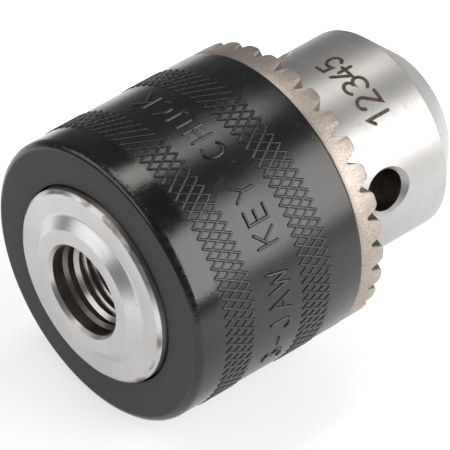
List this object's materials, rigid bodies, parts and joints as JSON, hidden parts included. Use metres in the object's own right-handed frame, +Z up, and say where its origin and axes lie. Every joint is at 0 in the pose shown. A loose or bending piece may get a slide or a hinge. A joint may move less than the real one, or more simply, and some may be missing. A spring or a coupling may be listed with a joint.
{
  "type": "drill chuck",
  "caption": "Keyed three-jaw drill chuck with a threaded hub, knurled black grip cover, toothed ring and bored steel nose.",
  "frame": {"origin": "on the spin axis where the internal spindle thread starts, 2.9 mm inside the rear seat face", "axes": "X along the spin axis with +X towards the nose; the jaws and key holes are clocked as the chuck lies, with key hole 1 at 167 degrees from +Y towards +Z; +Z up"},
  "size_m": [0.0591, 0.0426, 0.0428],
  "materials": {
    "turned_steel": "fine turned and ground, bright",
    "sintered_steel": "dry speckled beige-grey sintered surface",
    "black_plastic": "moulded, satin side and matte rear face",
    "jaw_steel": "hardened, dark ground",
    "nut_steel": "oiled",
    "race_steel": "polished bearing steel",
    "cage_brass": "satin"
  },
  "bodies": {
    "body": {"chuck_body": "turned_steel", "thrust_washer": "race_steel"},
    "sleeve": {"gear_sleeve": "sintered_steel", "grip_cover": "black_plastic", "nut_half_a": "nut_steel", "nut_half_b": "nut_steel"},
    "race": {"ball_cage": "cage_brass", "race_ball_01": "race_steel", "race_ball_02": "race_steel", "race_ball_03": "race_steel", "race_ball_04": "race_steel", "race_ball_05": "race_steel", "race_ball_06": "race_steel", "race_ball_07": "race_steel", "race_ball_08": "race_steel", "race_ball_09": "race_steel", "race_ball_10": "race_steel", "race_ball_11": "race_steel", "race_ball_12": "race_steel", "race_ball_13": "race_steel", "race_ball_14": "race_steel", "race_ball_15": "race_steel", "race_ball_16": "race_steel", "race_ball_17": "race_steel", "race_ball_18": "race_steel"},
    "jaw_1": {"jaw_1": "jaw_steel"},
    "jaw_2": {"jaw_2": "jaw_steel"},
    "jaw_3": {"jaw_3": "jaw_steel"}
  },
  "joints": [
    {"name": "sleeve_spin", "type": "hinge", "parent": "body", "child": "sleeve", "pos_m": [0, 0, 0], "axis": [-1, 0, 0], "range_deg": [0, 3834.16]},
    {"name": "jaw_1_slide", "type": "slide", "parent": "body", "child": "jaw_1", "axis": [0.9744, 0.1534, 0.1645], "range_m": [0, 0.02556]},
    {"name": "jaw_2_slide", "type": "slide", "parent": "body", "child": "jaw_2", "axis": [0.9744, -0.2192, 0.0506], "range_m": [0, 0.02556]},
    {"name": "jaw_3_slide", "type": "slide", "parent": "body", "child": "jaw_3", "axis": [0.9744, 0.0658, -0.2151], "range_m": [0, 0.02556]},
    {"name": "race_spin", "type": "hinge", "parent": "body", "child": "race", "pos_m": [0, 0, 0], "axis": [-1, 0, 0], "range_deg": [0, 1917.09]}
  ],
  "couplings": [
    {"joint": "jaw_1_slide", "follows": "sleeve_spin", "m_per_rad": 0.00038197},
    {"joint": "jaw_2_slide", "follows": "sleeve_spin", "m_per_rad": 0.00038197},
    {"joint": "jaw_3_slide", "follows": "sleeve_spin", "m_per_rad": 0.00038197},
    {"joint": "race_spin", "follows": "sleeve_spin", "ratio": 0.5}
  ]
}
